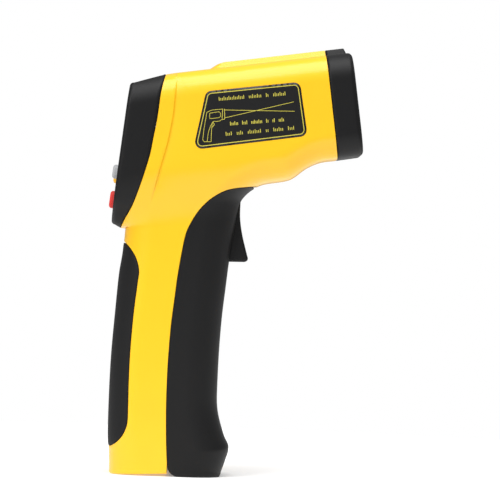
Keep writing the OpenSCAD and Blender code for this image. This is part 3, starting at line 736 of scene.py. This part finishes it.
# Silicone scatters light evenly, so the keys look soft and have no sharp highlight.
grey_rubber = moulded("Silicone rubber grey, moulded", "#B7B8BA", "#A9AAAC", 0.5, 0.5, 0.015, IOR=1.43)
yellow_rubber = moulded("Silicone rubber yellow, moulded", "#FFC52E", "#F4B822", 0.5, 0.5, 0.015, IOR=1.43)
red_rubber = moulded("Silicone rubber red, moulded", "#E33A33", "#D8322C", 0.5, 0.5, 0.015, IOR=1.43)
key_finish = {"grey_key": grey_rubber, "yellow_key": yellow_rubber, "red_key": red_rubber}
for name, (y, z, w, h) in KEYS.items():
    moves = [(0, KEY_ROOT), (0, -KEY_SIDE)]
    moves += [(inset, -KEY_SIDE - out) for inset, out in quarter(KEY_ROLL_IN, KEY_ROLL_OUT, 8)]
    make(name + "_cap", prism(rounded(w, h, 1.6) + (y, z), on_face, moves), name, key_finish[name], [name],
         smooth=50)

# %% [markdown]
# ## Nose cap
# The black cap closes the barrel. Its front edge is rounded, and inside the rim a recessed plate has one
# large hole for the lens and a small one for the laser above it.

# %% Nose cap
# Height of each opening above the barrel's axis, and its radius.
LENS_UP, LENS_HOLE = -4.3, 11.6
LASER_UP, LASER_HOLE = 12.4, 3.0
CAP_TOP, CAP_LOW = 18.5, -18.7
ROLL_ALONG, ROLL_ACROSS = 1.7, 2.0
RECESS = 2.2
cap_back = [barrel_point(-NOSE_DEPTH + GAP, CAP_TOP), barrel_point(-NOSE_DEPTH + GAP, CAP_LOW)]
cap_front = [barrel_point(-ROLL_ALONG, CAP_TOP), barrel_point(-ROLL_ALONG, CAP_LOW + 0.2)]
cap_rows = between(spread(cap_back, eased(60)), spread(cap_front, eased(60)),
                   np.concatenate([np.linspace(0, 0.8, 8), np.linspace(0.83, 1, 9)]))
cap_grid = rolled(hoop(cap_rows, raised=True, steps=30), barrel_axis, quarter(ROLL_ACROSS, ROLL_ALONG))
cap_grid = rolled(cap_grid, barrel_axis, [(0.8, 0), (1.1, -0.3), (1.15, -RECESS)])


def on_nose(plane, depth):
    """Points given across and up the nose, at a distance behind its front, in x, y, z."""
    return lift(barrel_point(-np.broadcast_to(depth, plane.shape[:-1]), plane[..., 1]), plane[..., 0])


def circle(r, up, count=72):
    """Circle about a height on the middle plane."""
    a = np.linspace(0, 2 * math.pi, count, endpoint=False)
    return np.stack([r * np.cos(a), r * np.sin(a) + up], 1)


floor_loop = cap_grid[:-1, -1]
floor_outline = np.stack([floor_loop[:, 1], (floor_loop[:, [0, 2]] - NOSE) @ BARREL_AXES[1]], 1)
floor_points, floor_faces = filled(floor_outline, [circle(LENS_HOLE, LENS_UP), circle(LASER_HOLE, LASER_UP)])
make("nose_cap_shell", [cap_grid, (on_nose(floor_points, RECESS), floor_faces)], "case", black_abs,
     ["nose_cap"], 1.5, inside=barrel_point(-7, 0)[[0, 0, 1]] * (1, 0, 1))

# %% [markdown]
# ## Trigger
# The trigger is a solid moulding that turns on its pin. Its outline is drawn in the side view and its
# edges are rounded by insetting the outline as the sides are reached.

# %% Trigger
TRIGGER_HALF = 5.0
TRIGGER_ROLL = 0.9
trigger_front = curve([[11.3, 98.6], [11.35, 93], [12.3, 87], [14.3, 79.6]], 30)
trigger_toe = np.array([[14.7, 78.5], [14.5, 77.6], [13.6, 77.1]])
trigger_back = np.array([[7.5, 77.0], [4.5, 78.2], [3.4, 79.4], [3.2, 81.0], [3.2, 98.6]])
trigger_line = np.vstack([trigger_front, trigger_toe, trigger_back])


trigger_outline = resample(np.vstack([trigger_line, trigger_line[:1]]), 121)[:-1]
edge = [(TRIGGER_ROLL * (1 - math.sin(a)), TRIGGER_HALF - TRIGGER_ROLL * (1 - math.cos(a)))
        for a in np.linspace(0, math.pi / 2, 7)]
moves = edge + [(inset, -depth) for inset, depth in edge[::-1]]
make("trigger_lever", prism(trigger_outline, lift, moves), "trigger", black_abs, ["trigger"],
     smooth=50)

# %% [markdown]
# ## Labels
# Each side of the barrel carries a thin black film with a printed diagram: two beams that cross, a small
# drawing of the instrument, and rows of marks. The rows are plain ticks, so nothing can be read in them.
# The film is cut flat and lifted onto the skin, six hundredths of a millimetre above it, as a sticker lies on
# a curved case. The ink is a set of thin ribbons a little above the film.

# %% Labels
FILM_UP, INK_UP = 0.06, 0.09
label_corners = np.array([[-0.1, 134.9], [28.9, 138.8], [31.4, 124.6], [-3.0, 119.2]])


def rounded_hull(centres, r, count=96):
    """Outline round circles: in each direction, the farthest circle's middle plus r times the direction."""
    a = np.linspace(0, 2 * math.pi, count, endpoint=False)
    way = np.stack([np.cos(a), np.sin(a)], 1)
    return centres[np.argmax(way @ centres.T, axis=1)] + r * way


def ribbon(line, width, closed=False):
    """Grid two points wide along a line, half the width to each side of it."""
    line = np.vstack([line, line[:1]]) if closed else np.asarray(line, float)
    step = np.gradient(line, axis=0)
    if closed:
        step[0] = step[-1] = line[1] - line[-2]
    normal = np.stack([-step[:, 1], step[:, 0]], 1) / np.linalg.norm(step, axis=1, keepdims=True)
    return np.stack([line - normal * width / 2, line + normal * width / 2], 1)


def ticks(start, end, groups, tall):
    """A row of upright ticks between two points, in groups like words; every third tick is a tall one."""
    start, end = np.array(start), np.array(end)
    slots = np.concatenate([np.arange(2 * n) + 2.4 * k + 2 * sum(groups[:k]) for k, n in enumerate(groups)])
    up = np.array([-(end - start)[1], (end - start)[0]]) / np.linalg.norm(end - start)
    base = start + np.multiply.outer(slots / slots.max(), end - start)
    height = tall * np.where(np.arange(len(slots)) % 3 == 0, 1.0, 0.7)
    return [np.stack([b, b + up * h]) for b, h in zip(base, height)]


frame_line = rounded_hull(label_corners, 1.55)
frame_line = resample(np.vstack([frame_line, frame_line[:1]]), 161)[:-1]
diagram = [ribbon(frame_line, 0.28, closed=True)]
diagram += [ribbon(resample(line, 12), width) for line, width in [
    ([(4.7, 127.9), (28.9, 134.4)], 0.17), ([(4.6, 130.7), (29.4, 131.1)], 0.17),
    ([(-1.7, 129.6), (0.0, 130.5), (3.9, 131.0)], 0.17),
    ([(4.5, 131.1), (4.8, 127.4), (3.8, 127.2), (3.9, 131.0)], 0.2),
    ([(-0.6, 129.4), (3.1, 130.1), (3.3, 128.0), (-0.7, 127.4), (-0.6, 129.4)], 0.17),
    ([(3.7, 127.3), (2.6, 126.5), (0.9, 126.6), (0.0, 125.4), (-0.9, 122.6), (-1.2, 119.2)], 0.17),
    ([(-1.7, 129.6), (-2.0, 127.1), (-2.5, 123.6), (-2.8, 119.2), (0.2, 119.3)], 0.17),
    ([(0.4, 126.2), (0.2, 122.6), (0.2, 119.3)], 0.17), ([(0.5, 126.4), (1.2, 125.4), (0.4, 124.4)], 0.2)]]
diagram += [ribbon(tick, 0.24) for row in [
    ((2.6, 133.9), (25.8, 136.6), (8, 4, 1, 4), 1.35),
    ((6.9, 125.3), (25.6, 127.4), (3, 2, 4, 1, 1, 2), 1.35),
    ((5.5, 121.6), (29.3, 124.6), (2, 2, 4, 1, 3, 2), 1.35)] for tick in ticks(*row)]

# A printed film is glossier than the case, so the label shows as a slightly sharper sheet on it.
label_film = moulded("Polyester film black, gloss printed", "#121213", "#0E0E0F", 0.36, 0.6, 0.002, IOR=1.45)
# Screen ink lies thin and flat: an even olive yellow, a little duller than the case.
label_ink = moulded("Screen-printed ink olive yellow", "#D6CB52", "#C9BD45", 0.45, 0.4, 0.004, IOR=1.5)
film_line = rounded_hull(label_corners, 2.45)
film_line = resample(np.vstack([film_line, film_line[:1]]), 161)[:-1]
flat, film_faces = filled(film_line, spacing=1.4)
for side, name in ((-1, "right"), (1, "left")):
    film = lift(flat, side * (skin(flat) + FILM_UP))
    make(f"label_{name}_film", [(film, film_faces)], "case", label_film, [f"label_{name}"], 0.05,
         inside=(14, 0, 129))
    ink = [lift(mark, side * (skin(mark) + INK_UP)) for mark in diagram]
    make(f"label_{name}_print", ink, "case", label_ink, inside=(14, 0, 129))

# %% [markdown]
# ## Lens
# The lens is a thin plastic disc pressed with fine rings, which bend the heat rays like a thick lens would.
# Its front is a profile turned about the lens axis: a slow dome with a small saw-tooth step at each ring.

# %% Fresnel lens
LENS_R, RING_STEP, RING_DEEP = 9.85, 0.55, 0.16
# How far behind the nose the lens's middle and its back are, and how much its edge lies behind its middle.
LENS_FRONT, LENS_BACK, LENS_DOME = 16.98, 18.5, 0.5


def turned(profile, up, count=96):
    """Profile of radius and distance behind the nose, turned about the nose's direction at a height."""
    a = np.linspace(0, 2 * math.pi, count + 1)
    profile = np.asarray(profile, float)
    across = np.multiply.outer(profile[:, 0], np.cos(a))
    above = np.multiply.outer(profile[:, 0], np.sin(a)) + up
    return on_nose(np.stack([across, above], -1), np.broadcast_to(profile[:, 1:], across.shape))


lens_r = np.arange(0, LENS_R + 0.001, RING_STEP / 4)
lens_front = LENS_FRONT + LENS_DOME * (lens_r / LENS_R) ** 2 + RING_DEEP * ((lens_r / RING_STEP) % 1.0)
lens_profile = np.vstack([np.stack([lens_r, lens_front], 1), [[LENS_R, LENS_BACK], [0.0, LENS_BACK]]])
# Milky plastic that passes heat rays: pale, slightly shiny, with no clear view through it.
pressed_lens = moulded("Polyethylene lens, milky pressed", "#C9CDD0", "#B9BDC1", 0.28, 0.6, 0.004, IOR=1.51)
make("fresnel_lens", [turned(lens_profile, LENS_UP)], "case", pressed_lens, ["ir_lens"],
     smooth=25)

# %% [markdown]
# ## Finishes of the hidden pieces
# The pieces inside show through the lens opening, the window and the open door. They keep their own shapes
# and only get a finish, each named for the real material.

# %% Inner finishes
def metal(name, light, dark, roughness, lines_mm):
    """A metal: colour drifts between two tones, and fine turning or rolling lines vary its roughness."""
    return moulded(name, light, dark, roughness, lines_mm, 0.004, patch_mm=6.0, Metallic=1.0)


# Zinc plate is a cool grey with soft reflections.
steel = metal("Steel, zinc plated", "#C9CBCE", "#A9ACB0", 0.3, 0.25)
# Turned brass is warm, with fine rings that stretch its highlight.
brass = metal("Brass, turned", "#D3B068", "#B8924A", 0.28, 0.2)
# Pressed nickel plate is a shade warmer and shinier than zinc.
nickel = metal("Nickel plate, pressed", "#CFCBC2", "#B5B1A8", 0.25, 0.3)
# Solder mask is a smooth green varnish over the board's weave.
green_board = moulded("Glass-epoxy board, green solder mask", "#1F6B41", "#185634", 0.35, 0.8, 0.01, IOR=1.55)
# Chips and tubes are matt, so they stay near black and their edges hardly show.
chip_epoxy = moulded("Epoxy, black moulded", "#222324", "#18191A", 0.5, 0.3, 0.01)
dark_tube = moulded("ABS black, matt", "#1A1A1B", "#131314", 0.6, 0.4, 0.02)
# Nylon is a creamy white with a soft highlight.
nylon = moulded("Nylon white, moulded", "#E9E7DF", "#DEDBD2", 0.45, 0.5, 0.01, IOR=1.53)
# Foam is the dullest of all, with a coarse open surface.
foam = moulded("Polyurethane foam grey", "#4A4A4C", "#38383A", 0.9, 0.7, 0.12, patch_mm=3.0)
# Extruded insulation is smooth and slightly shiny, and a ribbon cable is paler and duller.
red_wire = moulded("PVC red, extruded", "#C4201C", "#B01A17", 0.4, 0.5, 0.006)
black_wire = moulded("PVC black, extruded", "#1C1C1D", "#141415", 0.4, 0.5, 0.006)
grey_ribbon = moulded("PVC ribbon cable, grey", "#9A9CA0", "#85878B", 0.45, 0.5, 0.01)
# Dipped vinyl has a soft, slightly uneven skin.
vinyl = moulded("Vinyl black, dipped", "#1E1E1F", "#161617", 0.5, 0.8, 0.02)
# A milky sheet spreads light behind the display, and pink rubber strips join the glass to the board.
diffuser = moulded("Acrylic diffuser, milky", "#DDE6D0", "#D2DCC4", 0.5, 0.8, 0.004)
zebra = moulded("Silicone connector, pink", "#D98A9A", "#C97888", 0.55, 0.3, 0.01)
# The two windows are the shiniest pieces: one deep red, one clear so that the display shows through it.
laser_glass = moulded("Acrylic red, laser window", "#8E1215", "#7A0D10", 0.12, 1.0, 0.0, IOR=1.49)
window_clear = moulded("Acrylic, clear hard-coated", "#FFFFFF", "#FAFCFC", 0.07, 2.0, 0.0, IOR=1.49)
window_clear.node_tree.nodes["Principled BSDF"].inputs["Transmission Weight"].default_value = 1.0
# Display glass with nothing lit is an even grey-green.
lcd_glass = moulded("LCD glass, grey-green", "#A9B49C", "#A2AD95", 0.25, 1.5, 0.0, IOR=1.52)


BAND_FROM = 44.0


def battery_wrap():
    """Printed steel can: dark blue below BAND_FROM, and a copper-coloured shoulder above it."""
    material = moulded("Steel can, printed wrap", "#20304F", "#1B2843", 0.3, 0.4, 0.006)
    tree = material.node_tree
    shader = tree.nodes["Principled BSDF"]
    place = add(tree, "ShaderNodeTexCoord").outputs["Object"]
    height = add(tree, "ShaderNodeSeparateXYZ", {"Vector": place}).outputs["Z"]
    band = add(tree, "ShaderNodeMath", {0: height, 1: BAND_FROM * MM}, operation="GREATER_THAN")
    body = shader.inputs["Base Color"].links[0].from_socket
    tone = add(tree, "ShaderNodeMix", {0: band.outputs[0], MIX_A: body, MIX_B: linear("#B87746")},
               data_type="RGBA")
    tree.links.new(tone.outputs[MIX_OUT], shader.inputs["Base Color"])
    return material


finishes = {
    steel: ["case_screws", "board_screws", "trigger_pin", "trigger_spring", "door_pin", "aperture_stop",
            "ir_sensor"],
    brass: ["laser_module"], nickel: ["battery_terminals"],
    green_board: ["display_board", "sensor_board", "switch_board"],
    chip_epoxy: ["board_chips", "key_switches", "buzzer", "trigger_switch"],
    dark_tube: ["lens_shroud", "lens_tube", "lens_ring", "optics_frame"],
    nylon: ["switch_plunger", "grey_plunger", "yellow_plunger", "red_plunger"],
    foam: ["battery_pad"], red_wire: ["battery_lead_red"], black_wire: ["battery_lead_black"],
    grey_ribbon: ["sensor_cable", "laser_leads"], vinyl: ["battery_snap"], diffuser: ["lcd_backlight"],
    zebra: ["lcd_connectors"], laser_glass: ["laser_window"], window_clear: ["display_window"],
    lcd_glass: ["lcd_panel"], battery_wrap(): ["battery"],
}
for material, names in finishes.items():
    for name in names:
        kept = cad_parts[name].data.materials
        if not len(kept):
            kept.append(material)
        for slot in range(len(kept)):
            kept[slot] = material
print("finished", sum(map(len, finishes.values())), "hidden pieces")

# %% [markdown]
# ## Stage, camera and light
# The object stands on a small round of white paper in a white room. The camera sees the room at full
# white, and the room lights the object at about a third of that, so the dark mouldings keep their depth. A
# large soft light hangs above, a smaller one fills from the front, and the camera stands square to the side.

# %% Stage
PAPER_RINGS = np.array([0.0, 50, 150, 320])
PAPER_DROP = 0.05


def sheet_of_paper():
    """Round flat floor just below the foot: PAPER_RINGS are the radii of its rings of points."""
    turn = np.linspace(0, 2 * math.pi, 97)
    x = np.multiply.outer(PAPER_RINGS, np.cos(turn))
    y = np.multiply.outer(PAPER_RINGS, np.sin(turn))
    return np.stack([x, y, 0 * x - PAPER_DROP], -1)


# Matt paper that glows faintly, so that it meets the white room without a visible edge.
paper = moulded("Paper white, matt", "#F7F7F7", "#F4F4F4", 0.9, 3.0, 0.0)
paper.node_tree.nodes["Principled BSDF"].inputs["Emission Color"].default_value = (1, 1, 1, 1)
paper.node_tree.nodes["Principled BSDF"].inputs["Emission Strength"].default_value = 0.25
grid = sheet_of_paper()
mesh = bpy.data.meshes.new("paper_floor")
mesh.from_pydata((grid.reshape(-1, 3) * MM).tolist(), [], grid_faces(*grid.shape[:2])[:, ::-1].tolist())
mesh.shade_smooth()
floor = bpy.data.objects.new("paper_floor", mesh)
bpy.context.scene.collection.objects.link(floor)
floor.data.materials.append(paper)

ROOM_LIGHT = 0.36
world = bpy.data.worlds.new("white studio")
world.use_nodes = True
seen = add(world.node_tree, "ShaderNodeLightPath").outputs["Is Camera Ray"]
level = add(world.node_tree, "ShaderNodeMapRange", {"Value": seen, "To Min": ROOM_LIGHT, "To Max": 1.0})
world.node_tree.nodes["Background"].inputs["Color"].default_value = (1, 1, 1, 1)
world.node_tree.links.new(level.outputs["Result"], world.node_tree.nodes["Background"].inputs["Strength"])
bpy.context.scene.world = world


def softbox(name, place, target, size, power):
    """Square area light that faces a target."""
    lamp = bpy.data.lights.new(name, "AREA")
    lamp.size = size
    lamp.energy = power
    light = bpy.data.objects.new(name, lamp)
    light.location = place
    light.rotation_euler = (Vector(target) - Vector(place)).to_track_quat("-Z", "Y").to_euler()
    bpy.context.scene.collection.objects.link(light)


middle = (0.015, 0, 0.08)
softbox("top box", (0.05, -0.3, 1.1), middle, 1.0, 13)
softbox("front fill", (-0.75, -0.95, 0.75), middle, 0.6, 7.5)

# A long lens from 1.2 m, rolled by 2 degrees.
camera = bpy.data.cameras.new("camera")
camera.lens = 240
camera.sensor_width = 36
camera.clip_end = 20
eye = bpy.data.objects.new("camera", camera)
eye.location = (0.0153, -1.2, 0.0815)
eye.rotation_euler = (math.pi / 2, math.radians(-2), 0)
bpy.context.scene.collection.objects.link(eye)
bpy.context.scene.camera = eye
bpy.context.scene.view_settings.view_transform = "Standard"
print("camera at", tuple(round(x, 3) for x in eye.location))
